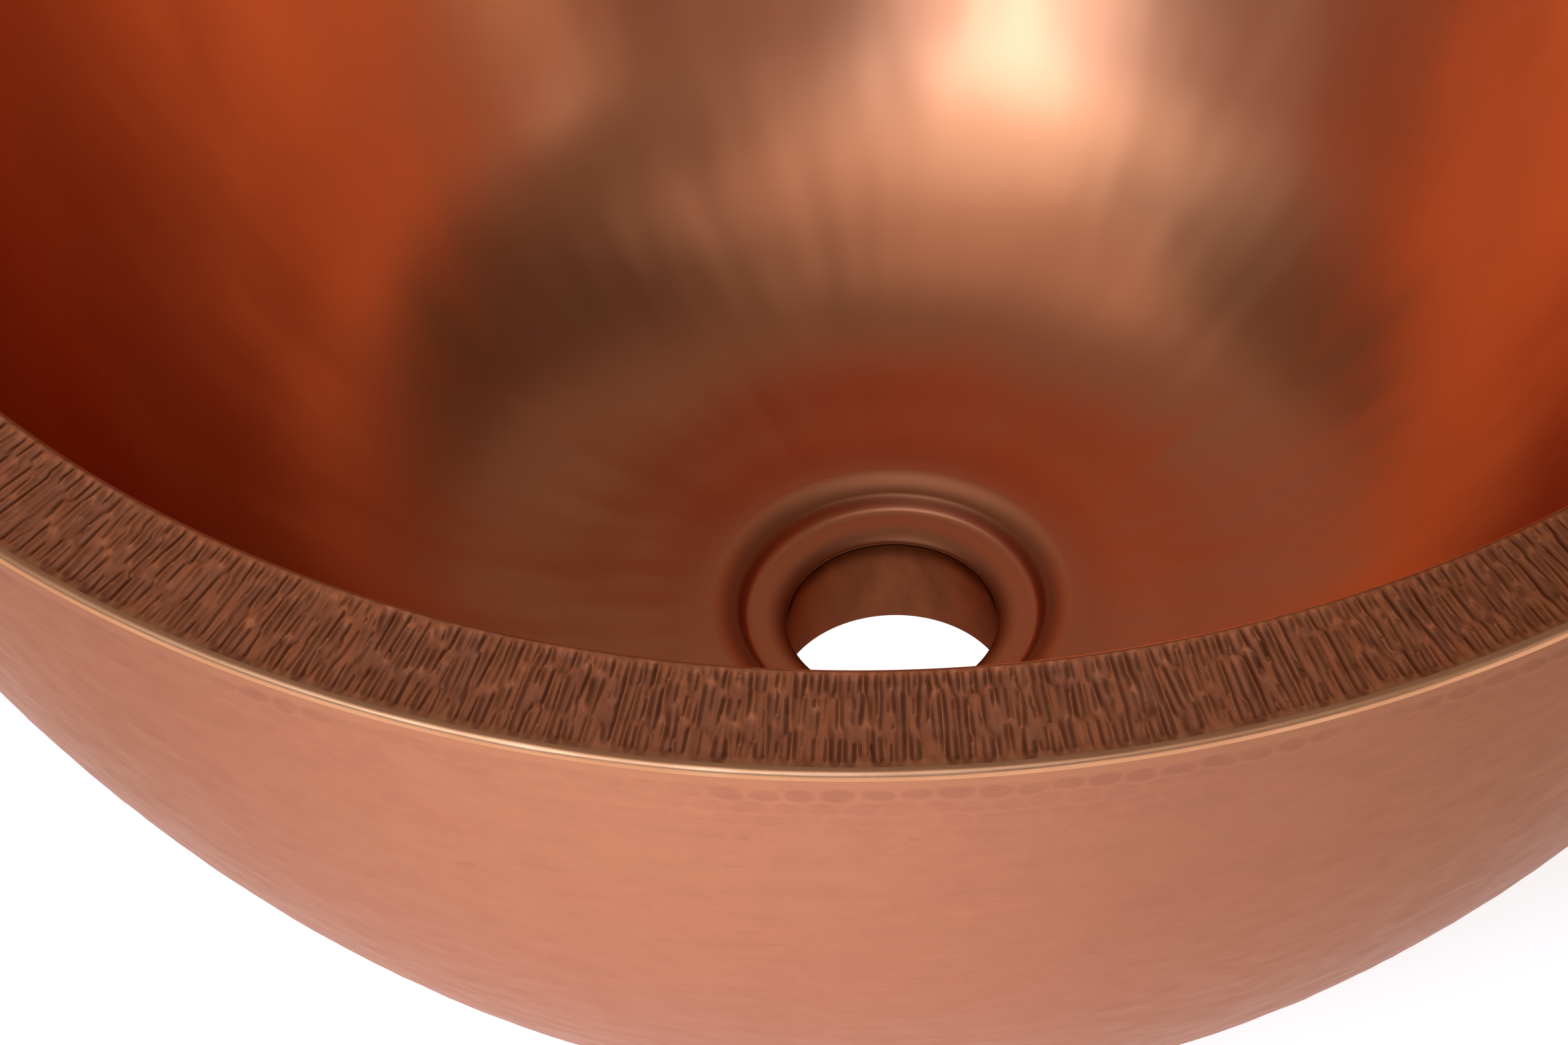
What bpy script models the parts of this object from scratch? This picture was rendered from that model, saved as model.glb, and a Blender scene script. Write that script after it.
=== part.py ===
"""Double-wall hammered copper vessel basin with a flat chased rim and a recessed drain.

Every piece is turned about the vertical axis.  Units are metres, +Z is up, and the origin is
the centre of the flat base that the basin stands on.

An inner basin and an outer shell hang from one flat rim ring with a sealed air gap between
them, and a short sleeve carries the drain through that gap.  The four copper pieces are held
by four brazed seams, which are rings of filler metal.
"""

import math

import bmesh
import bpy

# Overall size
RIM_OUTER_R = 0.2160
RIM_INNER_R = 0.1928
HEIGHT = 0.2120
INNER_FLOOR_Z = 0.0258

# Copper sheet, and the gap kept between pieces that touch
SHEET = 0.0015
GAP = 0.0003

# Bowl curve: a long side arc that leans out at the rim, then a short arc into the flat base
WALL_LEAN = math.radians(13.2)
SIDE_ARC_R = 0.4038
OUTER_BASE_ARC_R = 0.0520
INNER_BASE_ARC_R = 0.0800

# Drain: a recessed seat around a round hole, and the sleeve below it
DRAIN_R = 0.0186
SLEEVE_FOOT_R = 0.0206
SEAT_R = 0.0262
RECESS_R = 0.0298
RECESS_DEPTH = 0.0038

# Brazed seams
RIM_SEAM = 0.0016
FILLET = 0.0030
FOOT_SEAM = 0.0016
FOOT_RELIEF = 0.0002

# Smoothness of the turned pieces
TURN_STEPS = 72
SIDE_POINTS = 10
BASE_POINTS = 6
BEND_POINTS = 4
SHARP_ANGLE = math.radians(40)


def material(name, colour, roughness):
    """A copper or filler-metal finish."""
    made = bpy.data.materials.new(name)
    made.use_nodes = True
    shader = made.node_tree.nodes["Principled BSDF"]
    shader.inputs["Base Color"].default_value = (*colour, 1.0)
    shader.inputs["Metallic"].default_value = 1.0
    shader.inputs["Roughness"].default_value = roughness
    return made


def arc(centre, radius, start, end, count):
    """Points along an arc in the (r, z) plane, from angle start to angle end."""
    points = []
    for i in range(count):
        angle = start + (end - start) * i / (count - 1)
        points.append((centre[0] + radius * math.cos(angle), centre[1] + radius * math.sin(angle)))
    return points


def bowl_curve(rim_r, side_r, base_r, floor_z, top_z):
    """A bowl's face in (r, z), from its top edge at top_z down to where its floor goes flat.

    The side arc passes through (rim_r, HEIGHT), and the base arc is tangent to it and to the floor.
    """
    side_centre = (rim_r - side_r * math.cos(WALL_LEAN), HEIGHT + side_r * math.sin(WALL_LEAN))
    base_centre_z = floor_z + base_r
    reach = side_r - base_r
    drop = side_centre[1] - base_centre_z
    base_centre = (side_centre[0] + math.sqrt(reach**2 - drop**2), base_centre_z)
    top_angle = -math.asin((side_centre[1] - top_z) / side_r)
    turn_angle = -math.atan2(drop, base_centre[0] - side_centre[0])
    side = arc(side_centre, side_r, top_angle, turn_angle, SIDE_POINTS)
    base = arc(base_centre, base_r, turn_angle, -math.pi / 2, BASE_POINTS)
    return side + base[1:]


def turned(name, outline, finish, collection):
    """A ring of the closed (r, z) outline, which runs down its outer side first."""
    mesh = bpy.data.meshes.new(name)
    form = bmesh.new()
    corners = [form.verts.new((r, 0.0, z)) for r, z in outline]
    for first, second in zip(corners, corners[1:] + corners[:1]):
        form.edges.new((first, second))
    form.to_mesh(mesh)
    form.free()
    mesh.materials.append(finish)
    piece = bpy.data.objects.new(name, mesh)
    collection.objects.link(piece)
    screw = piece.modifiers.new("turn", "SCREW")
    screw.axis = "Z"
    screw.angle = math.tau
    screw.steps = TURN_STEPS
    screw.render_steps = TURN_STEPS
    screw.use_merge_vertices = True
    screw.merge_threshold = 0.00001
    with bpy.context.temp_override(object=piece, active_object=piece):
        bpy.ops.object.modifier_apply(modifier=screw.name)
    mesh.shade_smooth()
    mesh.set_sharp_from_angle(angle=SHARP_ANGLE)


def outer_shell_outline():
    """Hammered outer bowl, open at the top, with a clearance hole for the sleeve in its base."""
    top = HEIGHT - SHEET - GAP
    hole_r = SLEEVE_FOOT_R + SHEET + 2 * GAP + FOOT_SEAM
    outside = bowl_curve(RIM_OUTER_R, SIDE_ARC_R, OUTER_BASE_ARC_R, 0.0, top)
    inside = bowl_curve(
        RIM_OUTER_R - SHEET / math.cos(WALL_LEAN), SIDE_ARC_R - SHEET, OUTER_BASE_ARC_R - SHEET, SHEET, top
    )
    return outside + [(hole_r, 0.0), (hole_r, SHEET)] + inside[::-1]


def recess_bend(shift):
    """The pressed step from the basin's floor down to the drain seat, for one face of the sheet."""
    floor_z = INNER_FLOOR_Z + shift
    seat_z = floor_z - RECESS_DEPTH
    half = RECESS_DEPTH / 2
    middle_r = (SEAT_R + RECESS_R) / 2
    reach = (RECESS_R - SEAT_R) / 2
    points = []
    for i in range(2 * BEND_POINTS + 1):
        turn = math.pi * i / (2 * BEND_POINTS)
        points.append((middle_r + reach * math.cos(turn), seat_z + half + half * math.cos(turn)))
    return points


def inner_basin_outline():
    """Hammered inner bowl: its floor steps down to a flat seat around the drain hole."""
    top = HEIGHT - SHEET - GAP
    inside_side_r = SIDE_ARC_R - (RIM_OUTER_R - RIM_INNER_R) * math.cos(WALL_LEAN)
    seat_z = INNER_FLOOR_Z - RECESS_DEPTH
    outside = bowl_curve(
        RIM_INNER_R + SHEET / math.cos(WALL_LEAN),
        inside_side_r + SHEET,
        INNER_BASE_ARC_R + SHEET,
        INNER_FLOOR_Z - SHEET,
        top,
    )
    inside = bowl_curve(RIM_INNER_R, inside_side_r, INNER_BASE_ARC_R, INNER_FLOOR_Z, top)
    under = recess_bend(-SHEET) + [(DRAIN_R, seat_z - SHEET)]
    above = [(DRAIN_R, seat_z)] + recess_bend(0.0)[::-1]
    return outside + under + above + inside[::-1]


def rim_ring_outline():
    """Flat annular plate that closes the top of the air gap, with a dressed inner corner."""
    outer = RIM_OUTER_R - RIM_SEAM - GAP
    ease = SHEET / 3
    return [
        (outer, HEIGHT),
        (outer, HEIGHT - SHEET),
        (RIM_INNER_R, HEIGHT - SHEET),
        (RIM_INNER_R, HEIGHT - ease),
        (RIM_INNER_R + ease, HEIGHT),
    ]


def rim_outer_seam_outline():
    """Ground and polished bead along the top outside corner, between the rim ring and the shell."""
    inner = RIM_OUTER_R - RIM_SEAM
    foot = HEIGHT - SHEET
    round_centre = (RIM_OUTER_R - SHEET / 2, HEIGHT - SHEET / 2)
    corner = arc(round_centre, SHEET / 2, math.pi / 2, 0.0, BEND_POINTS)
    return corner + [(RIM_OUTER_R, foot), (inner, foot), (inner, HEIGHT)]


def rim_inner_fillet_outline():
    """Hidden fillet under the rim ring, outside the basin's top edge."""
    foot_z = HEIGHT - SHEET - GAP
    wall_r = RIM_INNER_R + SHEET / math.cos(WALL_LEAN) + GAP
    lean = FILLET * math.tan(WALL_LEAN)
    return [(wall_r + FILLET, foot_z), (wall_r - lean, foot_z - FILLET), (wall_r, foot_z)]


def drain_sleeve_outline():
    """Slightly flared tube from under the drain seat to the base."""
    top = INNER_FLOOR_Z - RECESS_DEPTH - SHEET - GAP
    return [
        (DRAIN_R + SHEET, top),
        (SLEEVE_FOOT_R + SHEET, FOOT_RELIEF),
        (SLEEVE_FOOT_R, FOOT_RELIEF),
        (DRAIN_R, top),
    ]


def sleeve_top_fillet_outline():
    """Hidden fillet under the drain seat, around the top of the sleeve."""
    foot_z = INNER_FLOOR_Z - RECESS_DEPTH - SHEET - GAP
    flare = (SLEEVE_FOOT_R - DRAIN_R) * FILLET / (foot_z - FOOT_RELIEF)
    wall_r = DRAIN_R + SHEET + GAP
    return [(wall_r + FILLET, foot_z), (wall_r + flare, foot_z - FILLET), (wall_r, foot_z)]


def sleeve_foot_seam_outline():
    """Seam in the groove between the sleeve's foot and the hole in the outer shell."""
    inner = SLEEVE_FOOT_R + SHEET + GAP
    return [
        (inner + FOOT_SEAM, SHEET),
        (inner + FOOT_SEAM, FOOT_RELIEF),
        (inner, FOOT_RELIEF),
        (inner, SHEET),
    ]


def build():
    for stale in list(bpy.data.objects):
        bpy.data.objects.remove(stale)
    collection = bpy.data.collections.new("double_wall_copper_basin")
    bpy.context.scene.collection.children.link(collection)

    hammered = material("hammered_copper", (0.80, 0.42, 0.28), 0.38)
    burnished = material("burnished_copper", (0.72, 0.33, 0.20), 0.30)
    chased = material("chased_copper", (0.42, 0.20, 0.14), 0.48)
    filler = material("polished_filler", (0.90, 0.58, 0.36), 0.22)

    pieces = [
        ("outer_shell", outer_shell_outline(), hammered),
        ("inner_basin", inner_basin_outline(), burnished),
        ("rim_ring", rim_ring_outline(), chased),
        ("rim_outer_seam", rim_outer_seam_outline(), filler),
        ("rim_inner_fillet", rim_inner_fillet_outline(), filler),
        ("drain_sleeve", drain_sleeve_outline(), chased),
        ("sleeve_top_fillet", sleeve_top_fillet_outline(), filler),
        ("sleeve_foot_seam", sleeve_foot_seam_outline(), filler),
    ]
    for name, outline, finish in pieces:
        turned(name, outline, finish, collection)


build()
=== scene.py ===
"""Looks of the double-wall hammered copper basin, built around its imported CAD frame.

The outer shell, inner basin, rim ring, outer seam and drain sleeve are turned again as fine meshes
with real hammer relief.  The three hidden braze seams keep their CAD shape and get a metal finish.
"""

import math

import bpy
import numpy as np
from mathutils import Matrix, Vector


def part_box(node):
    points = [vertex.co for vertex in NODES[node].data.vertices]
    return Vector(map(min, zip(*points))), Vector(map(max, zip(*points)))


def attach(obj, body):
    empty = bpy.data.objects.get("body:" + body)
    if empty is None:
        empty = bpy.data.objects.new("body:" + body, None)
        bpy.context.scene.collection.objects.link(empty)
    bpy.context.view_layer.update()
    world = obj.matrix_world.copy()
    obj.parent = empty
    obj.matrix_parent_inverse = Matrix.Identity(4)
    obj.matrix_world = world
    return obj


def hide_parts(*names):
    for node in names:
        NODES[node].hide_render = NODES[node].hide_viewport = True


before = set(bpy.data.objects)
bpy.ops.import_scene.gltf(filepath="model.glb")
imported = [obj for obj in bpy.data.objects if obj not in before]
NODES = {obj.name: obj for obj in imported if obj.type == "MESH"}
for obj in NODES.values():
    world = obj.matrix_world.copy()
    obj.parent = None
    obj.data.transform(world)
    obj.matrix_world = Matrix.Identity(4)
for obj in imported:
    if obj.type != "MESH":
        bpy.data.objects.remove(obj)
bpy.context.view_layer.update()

MM = 0.001
HIDDEN_SEAMS = ("rim_inner_fillet", "sleeve_top_fillet", "sleeve_foot_seam")


def radii(node):
    """Smallest and largest radius of a CAD node about the vertical axis."""
    points = np.array([vertex.co for vertex in NODES[node].data.vertices])
    reach = np.hypot(points[:, 0], points[:, 1])
    return float(reach.min()), float(reach.max())


# Sizes read from the frame, in metres
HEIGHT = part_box("rim_ring")[1].z
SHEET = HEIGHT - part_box("rim_ring")[0].z
RIM_INNER_R = radii("rim_ring")[0]
SEAM_INNER_R, RIM_OUTER_R = radii("rim_outer_seam")
DRAIN_R, SLEEVE_OUTER_R = radii("drain_sleeve")
SLEEVE_FOOT_R = SLEEVE_OUTER_R - SHEET
SLEEVE_FOOT_Z, SLEEVE_TOP_Z = (corner.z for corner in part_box("drain_sleeve"))
SHELL_HOLE_R = radii("outer_shell")[0]

# Bowl curve of the CAD pieces: a side arc that leans out at the rim, then an arc into the base
WALL_LEAN = math.radians(13.2)
SIDE_ARC_R = 0.4038
INNER_SIDE_ARC_R = SIDE_ARC_R - (RIM_OUTER_R - RIM_INNER_R) * math.cos(WALL_LEAN)
OUTER_BASE_ARC_R = 0.0520
INNER_BASE_ARC_R = 0.0800
INNER_FLOOR_Z = 0.0258

# Drain recess of the CAD pieces: radius of the flat seat, outer radius and depth
SEAT_R = 0.0262
RECESS_R = 0.0298
RECESS_DEPTH = 0.0038
SEAT_Z = INNER_FLOOR_Z - RECESS_DEPTH

# Its shape here: a rounded lip at the hole, a step up from the seat, and a soft shoulder outside
# the step, which takes up the last part of the depth
LIP_R = 3.4 * MM
STEP_START_R, STEP_END_R = SEAT_R - 1.0 * MM, SEAT_R + 1.1 * MM
SHOULDER_START_R, SHOULDER_END_R = STEP_END_R - 0.7 * MM, RECESS_R + 2.2 * MM
SHOULDER_DROP = 1.4 * MM

# Rounded corners of the rim's inner edge and of the seam
RIM_CORNER_R, SEAM_CORNER_R = 1.3 * MM, 0.75 * MM

# Fineness of the meshes: columns round the bowl, and the distance between points of an outline.
# The shell's outside has stages, each up to a distance from the top, finest near the rim.
SHELL_COLUMNS, SHELL_CURVE_STEP, BASE_STEP = 830, 0.5 * MM, 8 * MM
SHELL_STAGES = ((0.070, 1.7 * MM), (0.190, 2.7 * MM), (1.0, 8.0 * MM))
BASIN_COLUMNS, BASIN_STEP, BASIN_BACK_STEP = 620, 3.2 * MM, 9 * MM
SEAT_STEP, LIP_STEP, CLIMB_POINTS = 1 * MM, 0.3 * MM, 22
RIM_COLUMNS, RIM_STEP, RIM_CORNER_STEP = 3500, 0.95 * MM, 0.5 * MM
SEAM_COLUMNS, SEAM_STEP, SEAM_CORNER_STEP = 1200, 0.4 * MM, 0.1 * MM
SLEEVE_COLUMNS, SLEEVE_STEP = 160, 1 * MM
HIDDEN_STEP = 20 * MM


# ---------------------------------------------------------------- outlines in the (r, z) plane


def arc(centre, radius, start, end, step):
    """Points along an arc, from angle start to angle end, about one step apart."""
    count = max(3, round(abs(end - start) * radius / step) + 1)
    angle = np.linspace(start, end, count)
    return np.column_stack((centre[0] + radius * np.cos(angle), centre[1] + radius * np.sin(angle)))


def line(start, end, step):
    """Points along a straight run, both ends included."""
    count = max(2, round(math.dist(start, end) / step) + 1)
    return np.linspace(start, end, count)


def chain(*runs):
    """Joins runs of points into one, leaving out points that repeat."""
    points = np.vstack(runs)
    apart = np.linalg.norm(np.diff(points, axis=0), axis=1) > 1e-6
    return points[np.append(True, apart)]


def bowl_curve(rim_r, side_r, base_r, floor_z, top_z, step):
    """A bowl's face from its top edge at top_z down to where its floor goes flat."""
    side_centre = (rim_r - side_r * math.cos(WALL_LEAN), HEIGHT + side_r * math.sin(WALL_LEAN))
    base_centre_z = floor_z + base_r
    reach = side_r - base_r
    drop = side_centre[1] - base_centre_z
    base_centre = (side_centre[0] + math.sqrt(reach**2 - drop**2), base_centre_z)
    top_angle = -math.asin((side_centre[1] - top_z) / side_r)
    turn_angle = -math.atan2(drop, base_centre[0] - side_centre[0])
    side = arc(side_centre, side_r, top_angle, turn_angle, step)
    base = arc(base_centre, base_r, turn_angle, -math.pi / 2, step)
    return chain(side, base)


def eased(value, start, end):
    """0 up to start and 1 from end, with a half-cosine between."""
    return (1 - np.cos(math.pi * np.clip((value - start) / (end - start), 0, 1))) / 2


def ramp(value, start, length):
    """0 up to start, then straight up to 1 over the length."""
    return np.clip((value - start) / length, 0, 1)


def smooth_step(start, end, step):
    """A half-cosine bend between two points of different height."""
    count = max(5, round(math.dist(start, end) / step) + 1)
    share = np.linspace(0, 1, count)
    r = start[0] + (end[0] - start[0]) * share
    z = start[1] + (end[1] - start[1]) * eased(share, 0, 1)
    return np.column_stack((r, z))


def lengths(points):
    """Distance travelled along the points, starting at 0."""
    return np.append(0.0, np.cumsum(np.linalg.norm(np.diff(points, axis=0), axis=1)))


def staged(points, stages):
    """The same run with new points: each stage's step apart, up to its distance from the start."""
    along = lengths(points)
    stops = [0.0]
    for reach, step in stages:
        end = min(reach, along[-1])
        count = max(1, math.ceil((end - stops[-1]) / step))
        stops.extend(np.linspace(stops[-1], end, count + 1)[1:])
    return np.column_stack([np.interp(stops, along, points[:, axis]) for axis in (0, 1)])


# ---------------------------------------------------------------- hammer relief

# Hammer dishes of the outside, which the shell's colour repeats as painted highlight and shade: row
# pitch, width and rise
DISH_PITCH, DISH_WIDTH, DISH_RISE = 4.3 * MM, 6.0 * MM, 0.062 * MM

# Planishing of the basin: narrow and broad dishes, as pitch, width, rise, seed and passes of blur
BASIN_DISHES = (
    (17 * MM, 7.0 * MM, 0.055 * MM, 23, 5),
    (24 * MM, 30 * MM, 0.20 * MM, 29, 14),
)

# How far dishes stray: along the row in widths, across it in pitches, and in depth in rises
DISH_ASIDE, DISH_AHEAD, DISH_SINK = 0.20, 0.14, 0.30

# Rows of radial chisel marks on the rim: distance in from the outer edge, length, and pitch
MARK_ROWS = (
    (6.2 * MM, 7.4 * MM, 2.00 * MM),
    (13.4 * MM, 8.6 * MM, 2.00 * MM),
    (10.2 * MM, 5.4 * MM, 5.60 * MM),
    (19.2 * MM, 4.4 * MM, 2.15 * MM),
)

# A mark's usual width and depth, and the least and most of half its flat floor's width, half its
# length and its depth, as shares of those and of its row's length
MARK_WIDTH, MARK_DEPTH = 1.30 * MM, 0.34 * MM
HALF_WIDTH_SHARES, HALF_LENGTH_SHARES, DEPTH_SHARES = (0.30, 0.47), (0.40, 0.56), (0.55, 1.35)

# How far a mark strays: along its row in pitches, and across it
MARK_ASIDE, MARK_AHEAD = 0.09, 0.55 * MM

# Slopes of a mark's long walls and its ends, and how far its line and its floor stray from level
MARK_WALL_SLOPE, MARK_END_SLOPE = 0.80, 0.30
MARK_TWIST, MARK_LEAN, MARK_NOD = 0.030, 0.110, 0.022

# How far the rim's face sags and the seam's corner is worn
RIM_SAG, SEAM_WEAR = 0.10 * MM, 0.07 * MM

# Where relief comes in from the edge of a face: width without it, then width of the ramp
SHELL_TOP_EDGE, SHELL_FOOT_EDGE = (2.0 * MM, 2.5 * MM), (0.0, 12 * MM)
BASIN_TOP_EDGE, BASIN_FLOOR_EDGE = (0.5 * MM, 6 * MM), (0.0, 9 * MM)
MARKS_OUTER_EDGE, MARKS_INNER_EDGE = (2.2 * MM, 0.8 * MM), (1.0 * MM, 1.2 * MM)
SAG_OUTER_EDGE = (1.6 * MM, 2.5 * MM)


def angles_of(columns):
    """Angles of the columns round the bowl."""
    return np.arange(columns) * math.tau / columns


def hammer_dishes(columns, points, pitch, width, rise, seed):
    """Relief of rows of overlapping hammer dishes, 0 at its highest point and negative elsewhere.

    Rows run round the bowl, pitch apart, and a row's dishes are width apart.  Each dish is a
    shallow bowl that rises by about rise at its edge, where the next dish cuts it off.
    """
    rng = np.random.default_rng(seed)
    along = lengths(points)
    ring_r = points[:, 0]
    row_count = int(along[-1] / pitch) + 4
    row_r = np.interp((np.arange(row_count) - 1) * pitch, along, ring_r)
    per_row = np.maximum(16, np.round(math.tau * row_r / width)).astype(int)
    most = per_row.max()
    start = rng.uniform(0, 1, row_count)
    aside = rng.normal(0, DISH_ASIDE, (row_count, most))
    ahead = rng.normal(0, DISH_AHEAD, (row_count, most))
    sink = rng.normal(0, DISH_SINK, (row_count, most)) * rise
    turn = angles_of(columns)[:, None] / math.tau
    lowest = np.full((columns, len(points)), np.inf)
    nearest_row = np.round(along / pitch).astype(int) + 1
    for row_step in (-1, 0, 1):
        row = np.clip(nearest_row + row_step, 0, row_count - 1)
        place = turn * per_row[row] + start[row]
        spacing = math.tau * ring_r / per_row[row]
        for column_step in (-1, 0, 1):
            strike = np.floor(place).astype(int) + column_step
            which = strike % per_row[row]
            dx = (strike + 0.5 + aside[row, which] - place) * spacing
            dy = along - (row - 1 + ahead[row, which]) * pitch
            bowl = rise * ((2 * dx / width) ** 2 + (2 * dy / pitch) ** 2)
            lowest = np.minimum(lowest, bowl + sink[row, which])
    return lowest - lowest.max()


def blurred(relief, passes):
    """The relief softened along both directions, closed round the bowl."""
    for _ in range(passes):
        relief = (np.roll(relief, 1, 0) + 2 * relief + np.roll(relief, -1, 0)) / 4
        inner = (relief[:, :-2] + 2 * relief[:, 1:-1] + relief[:, 2:]) / 4
        relief = np.column_stack((relief[:, 0], inner, relief[:, -1]))
    return relief


def slow_waves(columns, count, seed):
    """Values from about -1 to 1 that wander smoothly round the bowl."""
    rng = np.random.default_rng(seed)
    angle = angles_of(columns)
    waves = sum(
        math.sqrt(1 / k) * np.cos(k * angle + rng.uniform(0, math.tau)) * rng.uniform(0.4, 1)
        for k in range(2, count)
    )
    return waves / np.abs(waves).max()


def chisel_marks(columns, ring_r, seed):
    """Relief of the flat-floored radial marks that a narrow chisel hammer left on the rim."""
    rng = np.random.default_rng(seed)
    turn = angles_of(columns)[:, None] / math.tau
    inward = RIM_OUTER_R - ring_r[None, :]
    lowest = np.zeros((columns, len(ring_r)))
    for row_inward, length, pitch in MARK_ROWS:
        count = round(math.tau * (RIM_OUTER_R - row_inward) / pitch)
        start = rng.uniform(0, 1)
        aside = rng.normal(0, MARK_ASIDE, count)
        ahead = rng.normal(0, MARK_AHEAD, count)
        half_width = MARK_WIDTH * rng.uniform(*HALF_WIDTH_SHARES, count)
        half_length = length * rng.uniform(*HALF_LENGTH_SHARES, count)
        depth = MARK_DEPTH * rng.uniform(*DEPTH_SHARES, count)
        twist = rng.normal(0, MARK_TWIST, count)
        lean = rng.normal(0, MARK_LEAN, count)
        nod = rng.normal(0, MARK_NOD, count)
        place = turn * count + start
        spacing = math.tau * ring_r[None, :] / count
        for step in (-1, 0, 1):
            strike = np.floor(place).astype(int) + step
            which = strike % count
            dy = inward - row_inward - ahead[which]
            dx = (strike + 0.5 + aside[which] - place) * spacing + twist[which] * dy
            wall = np.maximum(0, np.abs(dx) - half_width[which]) * MARK_WALL_SLOPE
            end = np.maximum(0, np.abs(dy) - half_length[which]) * MARK_END_SLOPE
            floor = -depth[which] + lean[which] * dx + nod[which] * dy
            lowest = np.minimum(lowest, floor + wall + end)
    return lowest


# ---------------------------------------------------------------- turned pieces


def turned(name, outline, columns, relief=None, crease=50):
    """A closed ring of the outline, which runs down its outer side first.

    relief moves each point along the outline's outward normal, one value per column and point.
    Its values stay on the mesh as the attribute "relief", in millimetres, and how steeply it
    changes round the ring as the attribute "steep".
    """
    count = len(outline)
    ahead = np.roll(outline, -1, 0) - outline
    ahead /= np.linalg.norm(ahead, axis=1)[:, None]
    tangent = ahead + np.roll(ahead, 1, 0)
    tangent /= np.maximum(np.linalg.norm(tangent, axis=1), 1e-9)[:, None]
    if relief is None:
        relief = np.zeros((columns, count))
    angle = angles_of(columns)[:, None]
    r = outline[:, 0] - tangent[:, 1] * relief
    z = outline[:, 1] + tangent[:, 0] * relief
    points = np.stack((r * np.cos(angle), r * np.sin(angle), z), axis=-1).reshape(-1, 3)

    column, station = np.meshgrid(np.arange(columns), np.arange(count), indexing="ij")
    next_column, next_station = (column + 1) % columns, (station + 1) % count
    corners = (
        (column, station),
        (column, next_station),
        (next_column, next_station),
        (next_column, station),
    )
    faces = np.stack([a * count + b for a, b in corners], axis=-1).reshape(-1, 4)

    mesh = bpy.data.meshes.new(name)
    mesh.vertices.add(len(points))
    mesh.vertices.foreach_set("co", points.astype(np.float32).ravel())
    mesh.loops.add(faces.size)
    mesh.loops.foreach_set("vertex_index", faces.astype(np.int32).ravel())
    mesh.polygons.add(len(faces))
    mesh.polygons.foreach_set("loop_start", np.arange(0, faces.size, 4, dtype=np.int32))
    mesh.update(calc_edges=True)
    mesh.validate()

    run = np.maximum(outline[:, 0], MM)[None, :] * math.tau / columns
    ahead_slope = (np.roll(relief, -1, 0) - relief) / run
    behind_slope = (relief - np.roll(relief, 1, 0)) / run
    steep = np.where(np.abs(ahead_slope) > np.abs(behind_slope), ahead_slope, behind_slope)
    for label, values in (("relief", relief / MM), ("steep", steep)):
        attribute = mesh.attributes.new(label, "FLOAT", "POINT")
        attribute.data.foreach_set("value", values.astype(np.float32).ravel())
    mesh.shade_smooth()
    mesh.set_sharp_from_angle(angle=math.radians(crease))
    piece = bpy.data.objects.new(name, mesh)
    bpy.context.scene.collection.objects.link(piece)
    return piece


def place(piece, node, slot, finish):
    """Stands the piece in for its CAD node, on the one body."""
    piece.data.materials.append(finish)
    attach(piece, "root")
    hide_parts(node)


def make_outer_shell(finish):
    """Hammered outside, flat base with the drain hole, and a plain hidden inside."""
    top = HEIGHT - SHEET
    outside = bowl_curve(RIM_OUTER_R, SIDE_ARC_R, OUTER_BASE_ARC_R, 0, top, SHELL_CURVE_STEP)
    outside = staged(outside, SHELL_STAGES)
    inside = bowl_curve(
        RIM_OUTER_R - SHEET / math.cos(WALL_LEAN),
        SIDE_ARC_R - SHEET,
        OUTER_BASE_ARC_R - SHEET,
        SHEET,
        top,
        HIDDEN_STEP,
    )
    under = line((outside[-1, 0], 0.0), (SHELL_HOLE_R, 0.0), BASE_STEP)
    outline = chain(outside, under, [(SHELL_HOLE_R, SHEET)], inside[::-1])

    along = lengths(outside)
    dishes = hammer_dishes(SHELL_COLUMNS, outside, DISH_PITCH, DISH_WIDTH, DISH_RISE, seed=11)
    relief = np.zeros((SHELL_COLUMNS, len(outline)))
    fade_top, fade_foot = ramp(along, *SHELL_TOP_EDGE), ramp(along[-1] - along, *SHELL_FOOT_EDGE)
    relief[:, : len(outside)] = dishes * fade_top * fade_foot
    shell = turned("outer_shell_hammered", outline, SHELL_COLUMNS, relief)
    place(shell, "outer_shell", "hammered_copper", finish)


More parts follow.
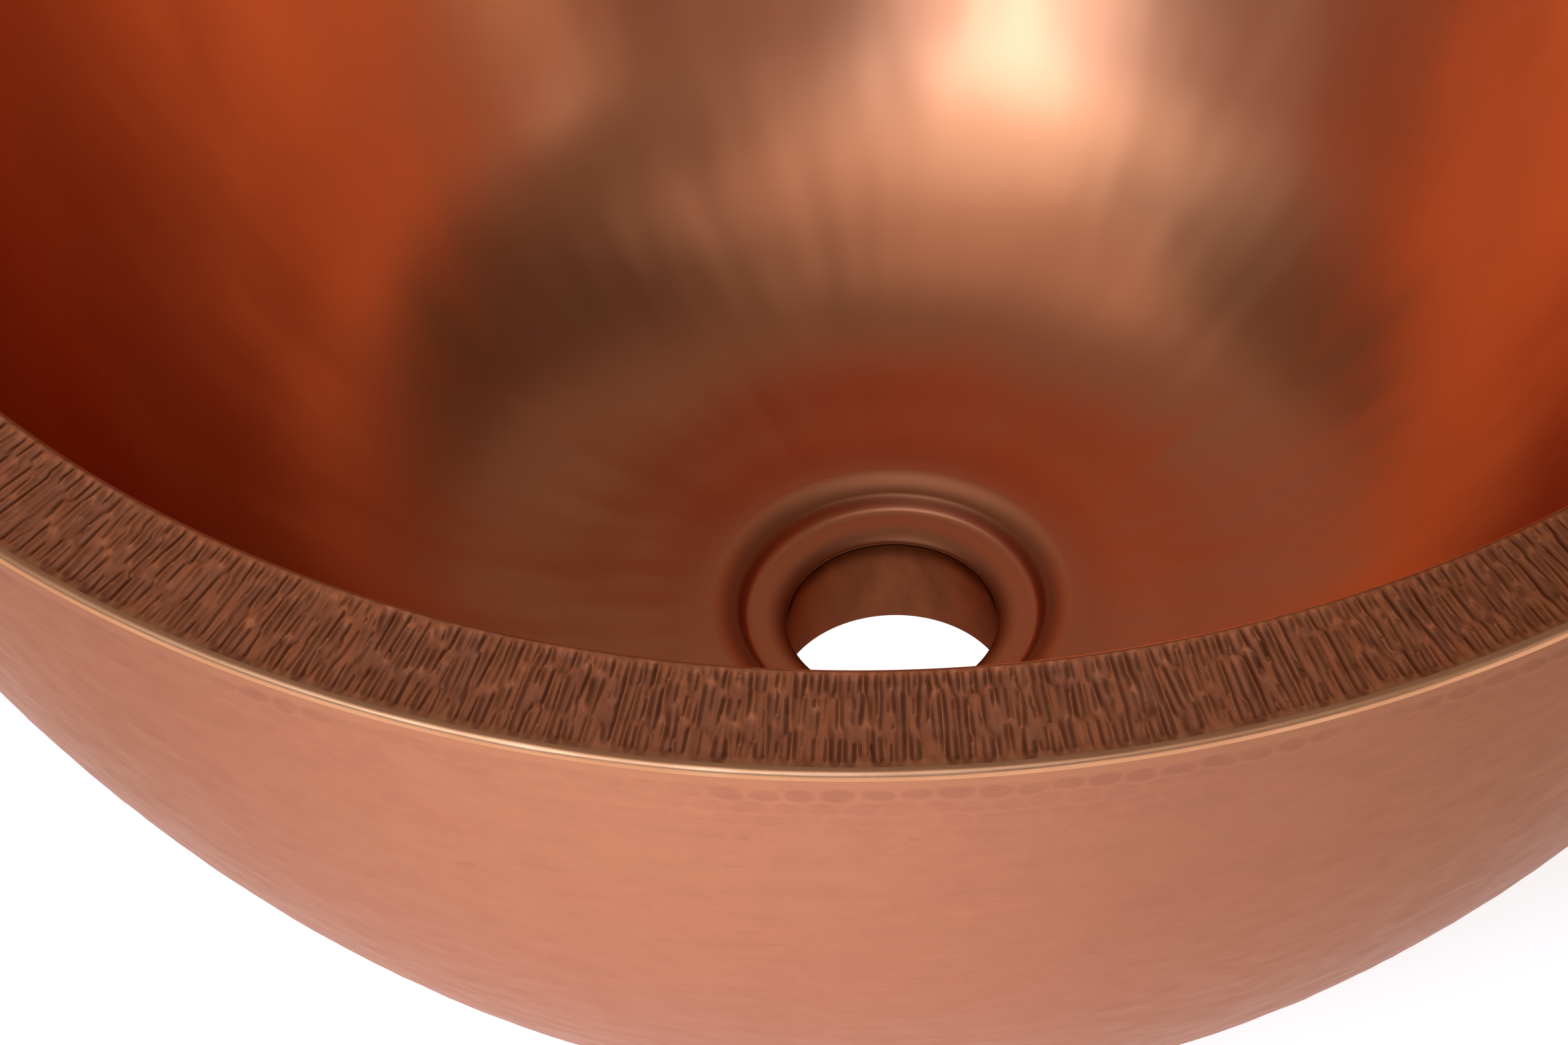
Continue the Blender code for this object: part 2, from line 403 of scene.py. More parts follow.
def make_inner_basin(finish):
    """Planished inside with the recessed drain seat, and a plain hidden back."""
    top = HEIGHT - SHEET
    seat_back_z = SEAT_Z - SHEET
    back = bowl_curve(
        RIM_INNER_R + SHEET / math.cos(WALL_LEAN),
        INNER_SIDE_ARC_R + SHEET,
        INNER_BASE_ARC_R + SHEET,
        INNER_FLOOR_Z - SHEET,
        top,
        BASIN_BACK_STEP,
    )
    back_step = smooth_step((RECESS_R, INNER_FLOOR_Z - SHEET), (SEAT_R, seat_back_z), SEAT_STEP)

    hole_edge = arc((DRAIN_R + LIP_R, 0), LIP_R, math.pi, math.pi / 2, LIP_STEP)
    hole_edge[:, 1] = seat_back_z + hole_edge[:, 1] * SHEET / LIP_R
    seat = line((DRAIN_R + LIP_R, SEAT_Z), (STEP_START_R, SEAT_Z), SEAT_STEP)
    climb_r = np.linspace(STEP_START_R, SHOULDER_END_R, CLIMB_POINTS)
    climb_z = SEAT_Z + (RECESS_DEPTH - SHOULDER_DROP) * eased(climb_r, STEP_START_R, STEP_END_R)
    climb_z += SHOULDER_DROP * eased(climb_r, SHOULDER_START_R, SHOULDER_END_R)
    climb = np.column_stack((climb_r, climb_z))

    face = bowl_curve(
        RIM_INNER_R, INNER_SIDE_ARC_R, INNER_BASE_ARC_R, INNER_FLOOR_Z, top, BASIN_STEP
    )
    floor = line((face[-1, 0], INNER_FLOOR_Z), (SHOULDER_END_R, INNER_FLOOR_Z), BASIN_STEP)
    worked = chain(face, floor)
    outline = chain(
        back, back_step, [(DRAIN_R, seat_back_z)], hole_edge, seat, climb, worked[::-1]
    )

    along = lengths(worked)
    shape = sum(
        blurred(hammer_dishes(BASIN_COLUMNS, worked, pitch, width, rise, seed), passes)
        for pitch, width, rise, seed, passes in BASIN_DISHES
    )
    shape = shape * ramp(along, *BASIN_TOP_EDGE) * ramp(along[-1] - along, *BASIN_FLOOR_EDGE)
    relief = np.zeros((BASIN_COLUMNS, len(outline)))
    relief[:, -len(worked) :] = shape[:, ::-1]
    basin = turned("inner_basin_planished", outline, BASIN_COLUMNS, relief)
    place(basin, "inner_basin", "burnished_copper", finish)


def make_rim_ring(finish):
    """Flat ring with rows of radial chisel marks and a soft inner corner."""
    wall_r = RIM_INNER_R - SHEET * math.tan(WALL_LEAN)
    soft_centre = (RIM_INNER_R + RIM_CORNER_R, HEIGHT - RIM_CORNER_R)
    soft = arc(soft_centre, RIM_CORNER_R, math.pi, math.pi / 2, RIM_CORNER_STEP)
    top = line((RIM_INNER_R + RIM_CORNER_R, HEIGHT), (SEAM_INNER_R, HEIGHT), RIM_STEP)
    outline = chain([(SEAM_INNER_R, HEIGHT - SHEET), (wall_r, HEIGHT - SHEET)], soft, top)

    marks = chisel_marks(RIM_COLUMNS, outline[:, 0], seed=5)
    sag = RIM_SAG * (slow_waves(RIM_COLUMNS, 40, seed=6)[:, None] - 1)
    from_outer = RIM_OUTER_R - outline[:, 0]
    from_inner = RIM_OUTER_R - RIM_INNER_R - from_outer
    marks *= ramp(from_outer, *MARKS_OUTER_EDGE) * ramp(from_inner, *MARKS_INNER_EDGE)
    sag = sag * ramp(from_outer, *SAG_OUTER_EDGE)
    upper = outline[:, 1] > HEIGHT - 0.5 * SHEET
    ring = turned("rim_ring_chased", outline, RIM_COLUMNS, (marks + sag) * upper, crease=70)
    place(ring, "rim_ring", "chased_copper", finish)


def make_outer_seam(finish):
    """Ground and polished braze bead on the rim's outer corner, slightly uneven."""
    foot = HEIGHT - SHEET
    bead_centre = (RIM_OUTER_R - SEAM_CORNER_R, HEIGHT - SEAM_CORNER_R)
    bead = arc(bead_centre, SEAM_CORNER_R, math.pi / 2, 0, SEAM_CORNER_STEP)
    top = line((SEAM_INNER_R, HEIGHT), bead[0], SEAM_STEP)
    side = line(bead[-1], (RIM_OUTER_R, foot), SEAM_STEP)
    outline = chain(top, bead, side, [(SEAM_INNER_R, foot)])

    uneven = SEAM_WEAR * (slow_waves(SEAM_COLUMNS, 90, seed=8) - 1)
    worn = np.zeros(len(outline))
    bead_start = len(top) - 1
    bead_share = np.sin(np.linspace(0.15, math.pi - 0.15, len(bead)))
    worn[bead_start : bead_start + len(bead)] = bead_share
    relief = uneven[:, None] * worn
    seam = turned("rim_outer_seam_polished", outline, SEAM_COLUMNS, relief)
    place(seam, "rim_outer_seam", "polished_filler", finish)


def make_drain_sleeve(finish):
    """Slightly flared tube between the drain seat and the base."""
    foot_inner, foot_outer = (SLEEVE_FOOT_R, SLEEVE_FOOT_Z), (SLEEVE_FOOT_R + SHEET, SLEEVE_FOOT_Z)
    outline = chain(
        [(DRAIN_R + SHEET, SLEEVE_TOP_Z)],
        line(foot_outer, foot_inner, SLEEVE_STEP),
        line(foot_inner, (DRAIN_R, SLEEVE_TOP_Z), SLEEVE_STEP),
    )
    sleeve = turned("drain_sleeve_tube", outline, SLEEVE_COLUMNS)
    place(sleeve, "drain_sleeve", "chased_copper", finish)


# ---------------------------------------------------------------- materials

# Tones of the metals, in linear light
SHELL_TONE = (0.384, 0.151, 0.084)
SHELL_ROSE = (0.390, 0.147, 0.084)
# Golden of the ground band under the rim, also used as painted highlight on dish ridges and oval
# edges
SHELL_GOLD_AND_HIGHLIGHT = (0.400, 0.164, 0.088)
# Painted shade, multiplied into the shell's colour towards its sides
SHELL_PAINTED_SHADE = (0.78, 0.76, 0.72)
SHELL_DULL = (0.320, 0.126, 0.086)
SHELL_DARK = (0.220, 0.080, 0.052)
# Painted shade colour inside the hammer ovals
SHELL_OVAL_SHADE = (0.270, 0.100, 0.060)
BASIN_TONE = (0.55, 0.186, 0.083)
BASIN_RED = (0.57, 0.182, 0.076)
BASIN_DULL = (0.46, 0.158, 0.073)
BASIN_LOW = (0.51, 0.184, 0.088)
# Painted shade colour for the drain recess's step and lip
BASIN_PAINTED_SHADE = (0.16, 0.045, 0.018)
RIM_TONE = (0.66, 0.215, 0.099)
RIM_RED = (0.70, 0.218, 0.096)
# Colour of the rim's high points: partly rubbed wear, partly painted highlight
RIM_RUBBED_AND_HIGHLIGHT = (0.82, 0.285, 0.136)
RIM_DEEP = (0.40, 0.146, 0.082)
# Colour of the mark walls: patina and painted shade
RIM_WALL_PATINA_AND_SHADE = (0.21, 0.064, 0.030)
RIM_GOLD = (0.56, 0.225, 0.105)
# Painted shade, multiplied into the rim's colour towards its right side
RIM_PAINTED_SHADE = (0.80, 0.74, 0.64)
SLEEVE_TONE = (0.190, 0.060, 0.029)
SLEEVE_BROWN = (0.172, 0.055, 0.027)
SLEEVE_DARK = (0.10, 0.034, 0.018)
# Painted shade colour for the sleeve's top, in the joint under the basin's lip
SLEEVE_PAINTED_SHADE = (0.045, 0.013, 0.005)
FILLER_TONE = (0.60, 0.275, 0.138)
FILLER_ROSE = (0.57, 0.248, 0.120)
BRAZE_TONE = (0.55, 0.33, 0.15)
BRAZE_LIGHT = (0.62, 0.38, 0.19)
FILLER_EDGE = (0.9, 0.62, 0.48)

# Where along X the shell gets darker with painted shade: from, to, and the share of painted shade
# at each
SHELL_PAINTED_SHADE_SPANS = (
    (0.005, 0.075, 0, 0.80),
    (-0.140, -0.080, 0.60, 0),
    (0.055, 0.112, 0, 1.0),
)

# Band under the rim that was ground golden, and the top of the first row of hammer ovals below it,
# which are painted in shade and highlight
GROUND_FOOT_Z, GROUND_TOP_Z = HEIGHT - 5.0 * MM, HEIGHT - 3.0 * MM
OVALS_TOP_Z = HEIGHT - 4.6 * MM


class Finish:
    """A node material under construction, with helpers that add nodes.

    It is a metal if it has an edge tint, which is its colour at grazing angles.
    """

    def __init__(self, name, edge_tint=None):
        self.material = bpy.data.materials.new(name)
        self.material.use_nodes = True
        self.tree = self.material.node_tree
        self.shader = self.tree.nodes["Principled BSDF"]
        if edge_tint:
            self.set("Metallic", 1.0)
            self.set("Specular Tint", (*edge_tint, 1.0))
        self.spot = self.add("ShaderNodeTexCoord").outputs["Object"]

    def set(self, name, value):
        """Feeds a socket of the shader."""
        self.link(value, self.shader.inputs[name])

    def add(self, kind, **settings):
        node = self.tree.nodes.new(kind)
        for key, value in settings.items():
            setattr(node, key, value)
        return node

    def link(self, value, socket):
        """Feeds a socket from another socket, or sets it to a plain value."""
        if isinstance(value, bpy.types.NodeSocket):
            self.tree.links.new(value, socket)
        else:
            socket.default_value = value

    def math(self, operation, first, second=0.0):
        node = self.add("ShaderNodeMath", operation=operation)
        self.link(first, node.inputs[0])
        self.link(second, node.inputs[1])
        return node.outputs[0]

    def vector(self, operation, first, second, output="Vector"):
        node = self.add("ShaderNodeVectorMath", operation=operation)
        self.link(first, node.inputs[0])
        self.link(second, node.inputs[1])
        return node.outputs[output]

    def noise(self, stretch, detail=3.0, roughness=0.5):
        """Noise from 0 to 1 whose scale along X, Y and Z is stretch, in cycles a metre."""
        node = self.add("ShaderNodeTexNoise")
        self.link(self.vector("MULTIPLY", self.spot, stretch), node.inputs["Vector"])
        node.inputs["Scale"].default_value = 1.0
        node.inputs["Detail"].default_value = detail
        node.inputs["Roughness"].default_value = roughness
        return node.outputs["Fac"]

    def spread(self, value, low, high, to_low=0.0, to_high=1.0):
        """Maps a value's range from low..high to to_low..to_high, held inside it."""
        node = self.add("ShaderNodeMapRange", interpolation_type="SMOOTHSTEP")
        self.link(value, node.inputs["Value"])
        ends = (("From Min", low), ("From Max", high), ("To Min", to_low), ("To Max", to_high))
        for key, number in ends:
            node.inputs[key].default_value = number
        return node.outputs["Result"]

    def mix(self, share, first, second, blend="MIX"):
        """Blends a share of the second colour into the first."""
        node = self.add("ShaderNodeMix", data_type="RGBA", blend_type=blend)
        self.link(share, node.inputs["Factor"])
        for value, name in ((first, "A"), (second, "B")):
            socket = next(s for s in node.inputs if s.name == name and s.type == "RGBA")
            self.link((*value, 1.0) if isinstance(value, tuple) else value, socket)
        return next(s for s in node.outputs if s.type == "RGBA")

    def axis(self, letter):
        """Position along X, Y or Z."""
        split = self.add("ShaderNodeSeparateXYZ")
        self.link(self.spot, split.inputs[0])
        return split.outputs[letter]

    def radius(self):
        """Distance from the vertical axis."""
        flat = self.vector("MULTIPLY", self.spot, (1, 1, 0))
        return self.vector("LENGTH", flat, (0, 0, 0), "Value")

    def jitter(self, stretch, reach):
        """Smooth offsets up to about half of reach either way."""
        centred = self.math("SUBTRACT", self.noise(stretch, detail=1), 0.5)
        return self.math("MULTIPLY", centred, reach)

    def ovals(self, width, pitch, start_z):
        """Rows of hammer ovals round the bowl, downwards from start_z.

        Gives how far out of its oval a point is, 1 at the oval's edge, and the rows below start_z.
        """
        turn = self.math("ARCTAN2", self.axis("X"), self.math("MULTIPLY", self.axis("Y"), -1.0))
        count = round(math.tau * RIM_OUTER_R / width)
        below = self.math("DIVIDE", self.math("SUBTRACT", start_z, self.axis("Z")), pitch)
        below = self.math("ADD", below, self.jitter((70, 70, 120), 0.9))
        row = self.math("FLOOR", below)
        across = self.math("MULTIPLY", turn, count / math.tau)
        across = self.math("ADD", across, self.math("MULTIPLY", row, 0.5))
        across = self.math("ADD", across, self.jitter((60, 60, 110), 0.8))
        squares = []
        for place_in_row, half_size in ((across, 0.47), (below, 0.46)):
            positive = self.math("ADD", place_in_row, 1000.0)
            from_centre = self.math("SUBTRACT", self.math("FRACT", positive), 0.5)
            share = self.math("DIVIDE", from_centre, half_size)
            squares.append(self.math("MULTIPLY", share, share))
        return self.math("ADD", *squares), below

    def attribute(self, name):
        """A value that the mesh carries, such as its relief."""
        return self.add("ShaderNodeAttribute", attribute_name=name).outputs["Fac"]

    def bump(self, height, depth, under=None):
        """Adds bump whose height of 1 is depth metres, over an earlier bump if given."""
        node = self.add("ShaderNodeBump")
        node.inputs["Strength"].default_value = 1.0
        node.inputs["Distance"].default_value = depth
        self.link(height, node.inputs["Height"])
        if under is not None:
            self.link(under, node.inputs["Normal"])
        return node.outputs["Normal"]

    def finish(self, colour, roughness, normal=None):
        """Feeds the shader and gives back the material."""
        self.set("Base Color", colour)
        self.set("Roughness", roughness)
        if normal is not None:
            self.set("Normal", normal)
        return self.material


def hammered_copper():
    """Satin pink copper outside, golden where its top was ground, with golden painted highlight
    where dishes meet and round the hammer ovals, painted shade inside the ovals, and painted shade
    towards its sides.
    """
    made = Finish("hammered_copper", edge_tint=(0.88, 0.64, 0.56))
    blotch = made.noise((26, 26, 34), detail=4, roughness=0.6)
    cloud = made.noise((110, 110, 150), detail=4, roughness=0.6)
    pits = made.noise((170, 170, 480), detail=3, roughness=0.6)
    brushed = made.noise((45, 45, 1500), detail=3, roughness=0.6)
    grain = made.noise((2400, 2400, 2400), detail=2)

    colour = made.mix(made.spread(blotch, 0.35, 0.65), SHELL_TONE, SHELL_ROSE)
    # Painted highlight: the higher parts of the hammer relief, where dishes meet, turn golden
    ridge_highlight = made.spread(made.attribute("relief"), -0.130, -0.072, 0, 0.60)
    colour = made.mix(ridge_highlight, colour, SHELL_GOLD_AND_HIGHLIGHT)
    colour = made.mix(made.spread(cloud, 0.52, 0.75, 0, 0.15), colour, SHELL_DULL)
    colour = made.mix(made.spread(pits, 0.64, 0.76, 0, 0.30), colour, SHELL_DARK)
    colour = made.mix(made.spread(brushed, 0.56, 0.80, 0, 0.22), colour, SHELL_DULL)
    ground = made.math("ADD", made.axis("Z"), made.math("MULTIPLY", cloud, 1.5 * MM))
    golden = made.spread(ground, GROUND_FOOT_Z, GROUND_TOP_Z, 0, 0.60)
    colour = made.mix(golden, colour, SHELL_GOLD_AND_HIGHLIGHT)

    # Rows of hammer ovals with painted shade inside and painted highlight round their edges
    oval, below = made.ovals(DISH_WIDTH, DISH_PITCH, OVALS_TOP_Z)
    first_row = made.spread(below, 0.8, 1.4, 0.26, 0)
    next_rows = made.spread(below, 1.5, 4.5, 0.14, 0.04)
    clear = made.math("ADD", first_row, next_rows)
    clear = made.math("MULTIPLY", clear, made.spread(blotch, 0.40, 0.60, 0.25, 1.1))
    inside = made.spread(oval, 0.60, 1.10, 1, 0)
    inside = made.math("MULTIPLY", inside, made.spread(below, -0.10, 0.05))
    edge = made.spread(oval, 0.90, 1.60, 0, 0.8)
    edge = made.math("MULTIPLY", edge, made.spread(below, 0.0, 0.3))
    colour = made.mix(made.math("MULTIPLY", inside, clear), colour, SHELL_OVAL_SHADE)
    colour = made.mix(made.math("MULTIPLY", edge, clear), colour, SHELL_GOLD_AND_HIGHLIGHT)
    # Painted shade: the shell darker towards its right side and towards its far left
    for span in SHELL_PAINTED_SHADE_SPANS:
        smoke = made.spread(made.axis("X"), *span)
        colour = made.mix(smoke, colour, SHELL_PAINTED_SHADE, blend="MULTIPLY")

    dull = made.spread(cloud, 0.3, 0.7, 0.36, 0.43)
    rough = made.math("ADD", dull, made.spread(brushed, 0.3, 0.7, -0.02, 0.02))
    normal = made.bump(cloud, 0.16 * MM)
    normal = made.bump(pits, 0.03 * MM, normal)
    normal = made.bump(grain, 0.008 * MM, normal)
    return made.finish(colour, rough, normal)


def burnished_copper():
    """Warm red-brown inside, rubbed smooth, with painted shade in the recess's step and round its
    lip.
    """
    made = Finish("burnished_copper", edge_tint=(0.88, 0.50, 0.34))
    blotch = made.noise((22, 22, 26), detail=3, roughness=0.55)
    cloud = made.noise((30, 30, 36), detail=1, roughness=0.5)
    radius = made.radius()

    colour = made.mix(made.spread(blotch, 0.35, 0.65), BASIN_TONE, BASIN_RED)
    colour = made.mix(made.spread(cloud, 0.45, 0.85, 0, 0.20), colour, BASIN_DULL)
    low = made.spread(made.axis("Z"), INNER_FLOOR_Z + 4 * MM, INNER_FLOOR_Z + 62 * MM, 0.80, 0)
    colour = made.mix(low, colour, BASIN_LOW)
    # Painted shade in the concave step of the drain recess
    step_inside = made.spread(radius, SEAT_R - 1.2 * MM, SEAT_R + 1.2 * MM)
    step_outside = made.spread(radius, SEAT_R + 1.4 * MM, RECESS_R + 1.2 * MM, 0.72, 0)
    colour = made.mix(made.math("MULTIPLY", step_inside, step_outside), colour, BASIN_PAINTED_SHADE)
    # Painted shade round the lip, where it turns down into the hole
    lip = made.spread(radius, DRAIN_R + 0.4 * MM, DRAIN_R + 4.0 * MM, 0.80, 0)
    colour = made.mix(lip, colour, BASIN_PAINTED_SHADE)

    near_drain = made.spread(radius, RECESS_R, RECESS_R + 14 * MM, 0.19, 0)
    rough = made.math("ADD", made.spread(cloud, 0.3, 0.7, 0.30, 0.34), near_drain)
    return made.finish(colour, rough)


def chased_copper():
    """Brown patinated rim with patina in the bottoms of the chisel marks, darker on the marks'
    walls with patina and painted shade, lighter high points that are partly rubbed and partly
    painted highlight, and painted shade towards its right side.
    """
    made = Finish("chased_copper", edge_tint=(0.85, 0.60, 0.48))
    blotch = made.noise((40, 40, 40), detail=4, roughness=0.6)
    fine = made.noise((420, 420, 420), detail=4, roughness=0.65)
    grain = made.noise((3200, 3200, 3200), detail=2)
    depth, steep = made.attribute("relief"), made.attribute("steep")

    colour = made.mix(made.spread(blotch, 0.35, 0.68), RIM_TONE, RIM_RED)
    deep = made.spread(depth, -0.48, -0.20, 1.0, 0.0)
    deep = made.math("MULTIPLY", deep, made.spread(fine, 0.30, 0.62, 0.4, 1.0))
    colour = made.mix(made.math("MULTIPLY", deep, 0.60), colour, RIM_DEEP)
    # Mark walls darker with patina and painted shade, one side darker than the other as a painted
    # shadow side
    colour = made.mix(made.spread(steep, 0.12, 0.60, 0, 0.72), colour, RIM_WALL_PATINA_AND_SHADE)
    colour = made.mix(made.spread(steep, -0.60, -0.12, 0.42, 0), colour, RIM_WALL_PATINA_AND_SHADE)
    # High points of the rim lighter, partly rubbed wear and partly painted highlight
    colour = made.mix(made.spread(depth, -0.10, -0.02, 0, 0.55), colour, RIM_RUBBED_AND_HIGHLIGHT)
    golden = made.spread(made.radius(), SEAM_INNER_R - 1.8 * MM, SEAM_INNER_R, 0, 0.70)
    colour = made.mix(golden, colour, RIM_GOLD)
    # Painted shade: the rim darker towards its right side
    smoke = made.spread(made.axis("X"), 0.030, 0.120)
    colour = made.mix(smoke, colour, RIM_PAINTED_SHADE, blend="MULTIPLY")
    glint = made.spread(fine, 0.70, 0.78, 0, 0.45)
    glint = made.math("MULTIPLY", glint, made.spread(depth, -0.20, -0.05))
    colour = made.mix(glint, colour, FILLER_TONE)

    rough = made.spread(fine, 0.3, 0.7, 0.38, 0.48)
    rough = made.math("ADD", rough, made.math("MULTIPLY", deep, 0.10))
    normal = made.bump(fine, 0.05 * MM)
    normal = made.bump(grain, 0.010 * MM, normal)
    return made.finish(colour, rough, normal)


def sleeve_copper():
    """Dull brown copper down the drain, which was never polished, with painted shade at its top
    edge where it meets the basin's lip.
    """
    made = Finish("sleeve_copper", edge_tint=(0.16, 0.07, 0.04))
    lump = made.noise((130, 130, 60), detail=4, roughness=0.6)
    ring = made.noise((30, 30, 1600), detail=3)
    colour = made.mix(made.spread(lump, 0.35, 0.65), SLEEVE_TONE, SLEEVE_BROWN)
    colour = made.mix(made.spread(ring, 0.55, 0.75, 0, 0.25), colour, SLEEVE_DARK)
    # Painted shade at the sleeve's top, in the joint under the basin's lip
    joint_shade = made.spread(made.axis("Z"), SLEEVE_TOP_Z - 5 * MM, SLEEVE_TOP_Z, 0, 0.85)
    colour = made.mix(joint_shade, colour, SLEEVE_PAINTED_SHADE)
    rough = made.spread(lump, 0.3, 0.7, 0.50, 0.62)
    return made.finish(colour, rough, made.bump(ring, 0.03 * MM))


def polished_filler():
    """Bright golden edge with fine grinding scratches along it."""
    made = Finish("polished_filler", FILLER_EDGE)
    scratch = made.noise((160, 160, 2600), detail=3, roughness=0.7)
    blotch = made.noise((55, 55, 55), detail=3)
    colour = made.mix(made.spread(blotch, 0.35, 0.65), FILLER_TONE, FILLER_ROSE)
    colour = made.mix(made.spread(scratch, 0.60, 0.82, 0, 0.18), colour, RIM_GOLD)
    rough = made.spread(scratch, 0.3, 0.75, 0.40, 0.47)
    rough = made.math("ADD", rough, made.spread(blotch, 0.3, 0.7, -0.03, 0.04))
    return made.finish(colour, rough, made.bump(scratch, 0.002 * MM))


def brazed_filler():
    """Hidden braze metal, dull and slightly lumpy."""
    made = Finish("brazed_filler", FILLER_EDGE)
    lump = made.noise((260, 260, 260), detail=3)
    colour = made.mix(made.spread(lump, 0.35, 0.65), BRAZE_TONE, BRAZE_LIGHT)
    rough = made.spread(lump, 0.3, 0.7, 0.35, 0.50)
    return made.finish(colour, rough, made.bump(lump, 0.12 * MM))


# ---------------------------------------------------------------- stage, lights and camera

# The floor's own glow, and the spots where it changes: centre, reach, and glow at the centre.
# The front is brighter, and lights the shell from below.  Under the bowl it is darker, a painted
# contact shadow.
FLOOR_GLOW = 0.78
FLOOR_SPOTS = (
    ((-0.09, -0.28, 0.0), 0.21, 1.32),
    ((0.0, 0.0, 0.0), 0.105, 0.15),
)
FLOOR_GREY, PATCH_GREY = (0.82, 0.82, 0.82, 1), (0.80, 0.80, 0.80, 1)
WHITE_LIGHT = (1, 1, 1, 1)

WORLD_TONE, WORLD_STRENGTH = (1.0, 0.80, 0.66, 1), 0.09

WHITE = (1.0, 1.0, 1.0)
WARM = (1.0, 0.90, 0.80)
COOL = (0.80, 0.95, 1.0)
SKY = (0.68, 0.86, 1.0)
BLUE = (0.44, 0.67, 1.0)

# Softboxes: name, azimuth and elevation in degrees, distance, width, height, radiance and colour.
# A large key at the front left with a hot core and a dim wide wing, weaker fills at both sides,
# and a dim back.
SOFTBOXES = (
    ("key", -157, 40, 1.8, 0.58, 0.74, 7.0, BLUE),
    ("key_core", -156, 33, 1.7, 0.30, 0.40, 12.5, BLUE),
    ("key_wide", -152, 55, 2.0, 1.15, 1.35, 2.75, SKY),
    ("left_wing", -119, 38, 2.1, 0.9, 1.3, 0.88, COOL),
    ("right_strip", 126, 25, 2.0, 0.42, 0.75, 2.6, COOL),
    ("right_wing", 118, 42, 2.1, 1.1, 1.1, 0.18, WARM),
    ("front", 160, 45, 2.2, 0.7, 1.2, 0.56, WHITE),
    ("front_high", 145, 72, 2.2, 0.9, 0.8, 0.80, WHITE),
    ("top", -75, 79, 2.2, 1.15, 1.15, 0.80, WHITE),
    ("back", -5, 52, 2.4, 2.6, 1.3, 0.25, WHITE),
)

# Camera: place in rim radii from the rim's centre, and angles in radians
CAMERA_FRONT, CAMERA_ABOVE = 7.5937, 7.0613
CAMERA_PITCH, CAMERA_YAW, CAMERA_ROLL = 0.80074, -0.01125, -0.03146
LENS_MM, SENSOR_MM = 310.15, 36


def floor_finish():
    """Pale matt floor that glows a little, brighter at the front and darker under the bowl as a
    painted contact shadow.
    """
    made = Finish("pale_floor")
    made.set("Specular IOR Level", 0.0)
    made.set("Emission Color", WHITE_LIGHT)
    glow = FLOOR_GLOW
    for centre, reach, at_centre in FLOOR_SPOTS:
        apart = made.vector("DISTANCE", made.spot, centre, "Value")
        share = made.spread(apart, 0, reach, at_centre / FLOOR_GLOW, 1)
        glow = made.math("MULTIPLY", share, glow)
    made.set("Emission Strength", glow)
    return made.finish(FLOOR_GREY, 0.9)


def patch_finish():
    """Lit white of the patch under the drain."""
    made = Finish("lit_patch")
    made.set("Emission Color", WHITE_LIGHT)
    made.set("Emission Strength", 1.0)
    return made.finish(PATCH_GREY, 0.5)


def make_stage():
    """Pale floor, and a lit patch under the drain so that the hole shows the floor as pale too."""
    bpy.ops.mesh.primitive_plane_add(size=14, location=(0, 0, -0.5 * MM))
    floor = bpy.context.object
    floor.name = "floor"
    floor.data.materials.append(floor_finish())
    bpy.ops.mesh.primitive_circle_add(
        vertices=64, radius=SLEEVE_FOOT_R + 2 * MM, fill_type="NGON", location=(0, 0, -0.2 * MM)
    )
    patch = bpy.context.object
    patch.name = "patch_under_drain"
    patch.data.materials.append(patch_finish())


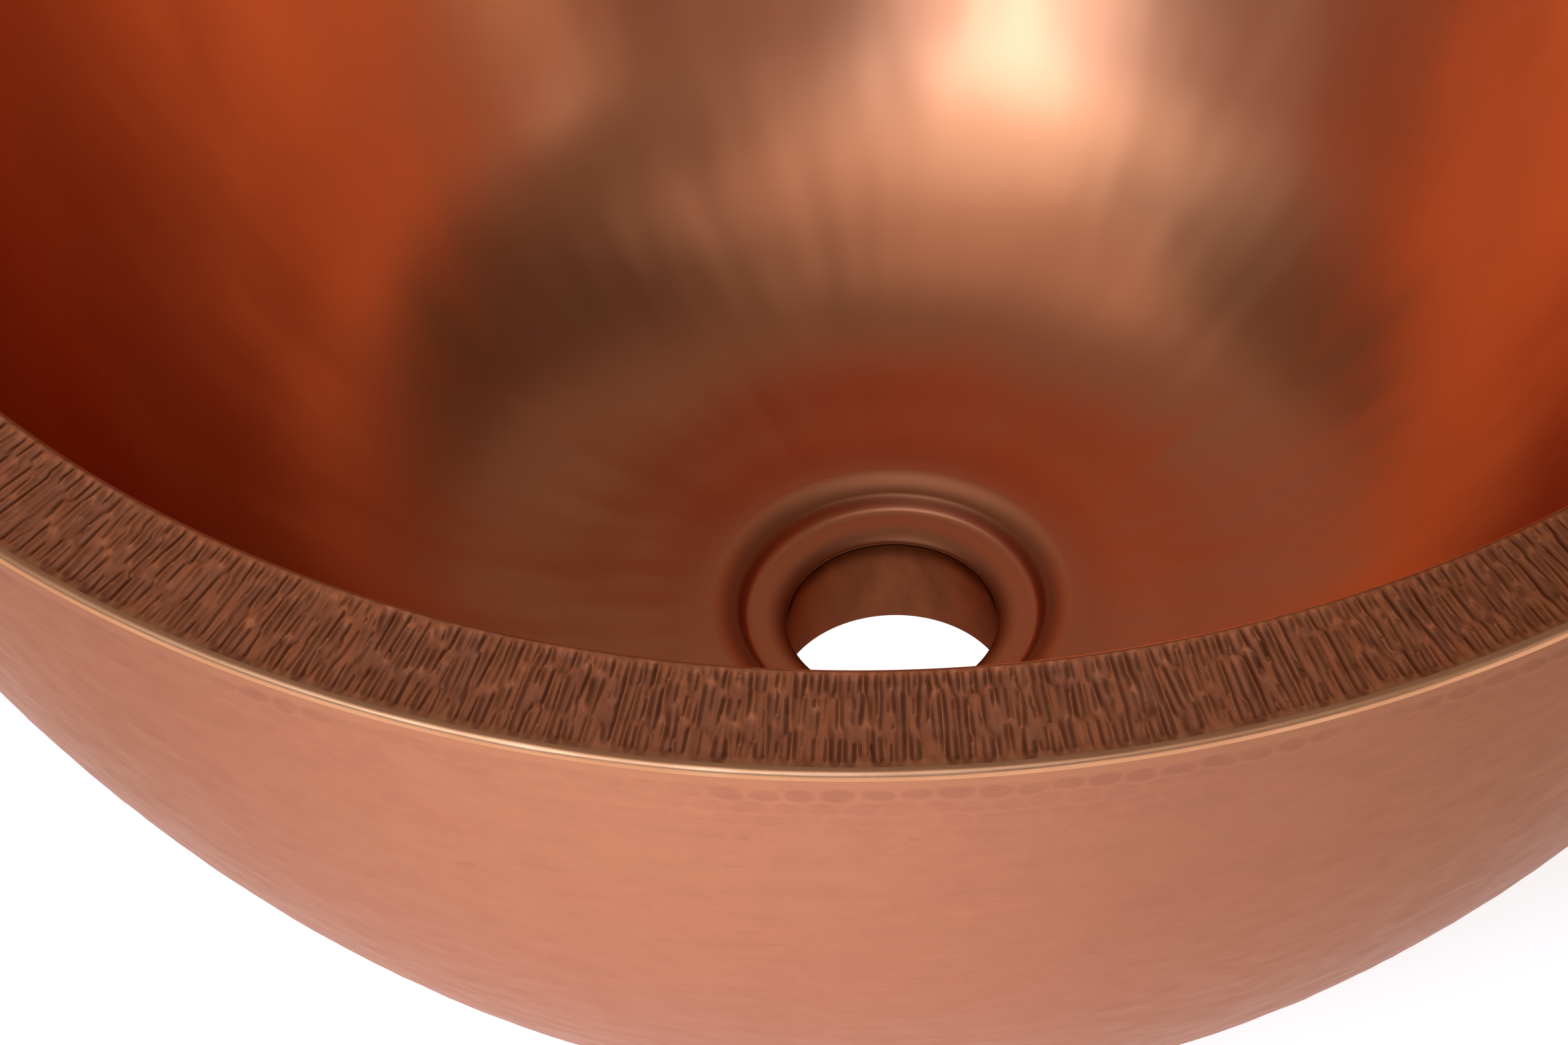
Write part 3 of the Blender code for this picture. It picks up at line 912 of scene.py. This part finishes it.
def softbox(name, azimuth, elevation, distance, width, height, radiance, colour):
    """Area light seen from the bowl at that azimuth, from +Y towards +X, and elevation."""
    data = bpy.data.lights.new(name, "AREA")
    data.shape = "RECTANGLE"
    data.size, data.size_y = width, height
    data.energy = radiance * math.pi * width * height
    data.color = colour
    lamp = bpy.data.objects.new(name, data)
    bpy.context.scene.collection.objects.link(lamp)
    turn, rise = math.radians(azimuth), math.radians(elevation)
    away = Vector(
        (math.sin(turn) * math.cos(rise), math.cos(turn) * math.cos(rise), math.sin(rise))
    )
    lamp.location = Vector((0, 0, HEIGHT / 2)) + away * distance
    lamp.rotation_euler = (-away).to_track_quat("-Z", "Y").to_euler()
    lamp.visible_camera = False


def make_lights():
    """The softboxes, and a dim warm world that fills in the shadows."""
    for box in SOFTBOXES:
        softbox(*box)
    world = bpy.data.worlds.new("studio")
    world.use_nodes = True
    background = world.node_tree.nodes["Background"]
    background.inputs["Color"].default_value = WORLD_TONE
    background.inputs["Strength"].default_value = WORLD_STRENGTH
    bpy.context.scene.world = world


def make_camera():
    """Long-lens view down into the basin from the front, tight on the near rim and the drain."""
    data = bpy.data.cameras.new("camera")
    data.sensor_fit = "HORIZONTAL"
    data.sensor_width = SENSOR_MM
    data.lens = LENS_MM
    data.clip_start, data.clip_end = 0.05, 50
    camera = bpy.data.objects.new("camera", data)
    bpy.context.scene.collection.objects.link(camera)
    heading = Vector((math.sin(CAMERA_YAW), math.cos(CAMERA_YAW), 0))
    down = Vector((0, 0, -1))
    forward = heading * math.cos(CAMERA_PITCH) + down * math.sin(CAMERA_PITCH)
    level = Vector((math.cos(CAMERA_YAW), -math.sin(CAMERA_YAW), 0))
    upright = level.cross(forward)
    right = math.cos(CAMERA_ROLL) * level + math.sin(CAMERA_ROLL) * upright
    up = -math.sin(CAMERA_ROLL) * level + math.cos(CAMERA_ROLL) * upright
    turn = Matrix((right, up, -forward)).transposed().to_4x4()
    spot = Vector((0, -CAMERA_FRONT * RIM_OUTER_R, HEIGHT + CAMERA_ABOVE * RIM_OUTER_R))
    camera.matrix_world = Matrix.Translation(spot) @ turn
    bpy.context.scene.camera = camera


def build():
    bpy.context.scene.view_settings.view_transform = "Standard"
    make_outer_shell(hammered_copper())
    make_inner_basin(burnished_copper())
    make_drain_sleeve(sleeve_copper())
    make_rim_ring(chased_copper())
    make_outer_seam(polished_filler())
    filler = brazed_filler()
    for node in HIDDEN_SEAMS:
        NODES[node].data.materials.clear()
        NODES[node].data.materials.append(filler)
    make_stage()
    make_lights()
    make_camera()


build()
